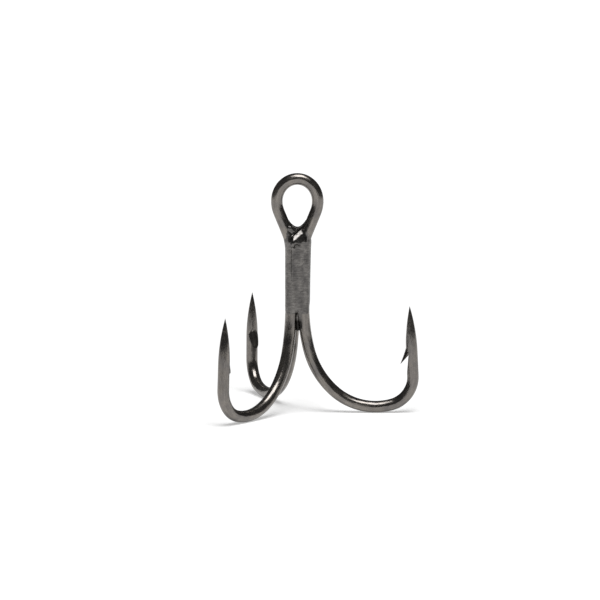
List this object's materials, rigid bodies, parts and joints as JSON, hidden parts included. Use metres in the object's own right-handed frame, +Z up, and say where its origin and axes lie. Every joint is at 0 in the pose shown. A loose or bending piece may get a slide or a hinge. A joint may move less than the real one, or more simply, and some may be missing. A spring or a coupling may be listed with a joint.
{
  "type": "treble hook",
  "caption": "Brazed treble fishing hook: a double hook and oval eye bent from one wire, with a third hook in the back of its shank.",
  "frame": {"origin": "centre of the eye, in the plane of the eye's wire", "axes": "+Z up the shank towards the eye, +X across the eye in its plane, +Y along the eye's axis, towards the side of the shank where the third wire lies"},
  "size_m": [0.0374, 0.0421, 0.045],
  "materials": {
    "plated_wire": "gloss",
    "plated_braze": "satin"
  },
  "bodies": {
    "root": {"eyed_double_hook": "plated_wire", "third_hook": "plated_wire", "braze_front_fillet": "plated_braze", "braze_right_fillet": "plated_braze", "braze_left_fillet": "plated_braze", "braze_core": "plated_braze", "braze_throat_bead": "plated_braze"}
  },
  "joints": []
}
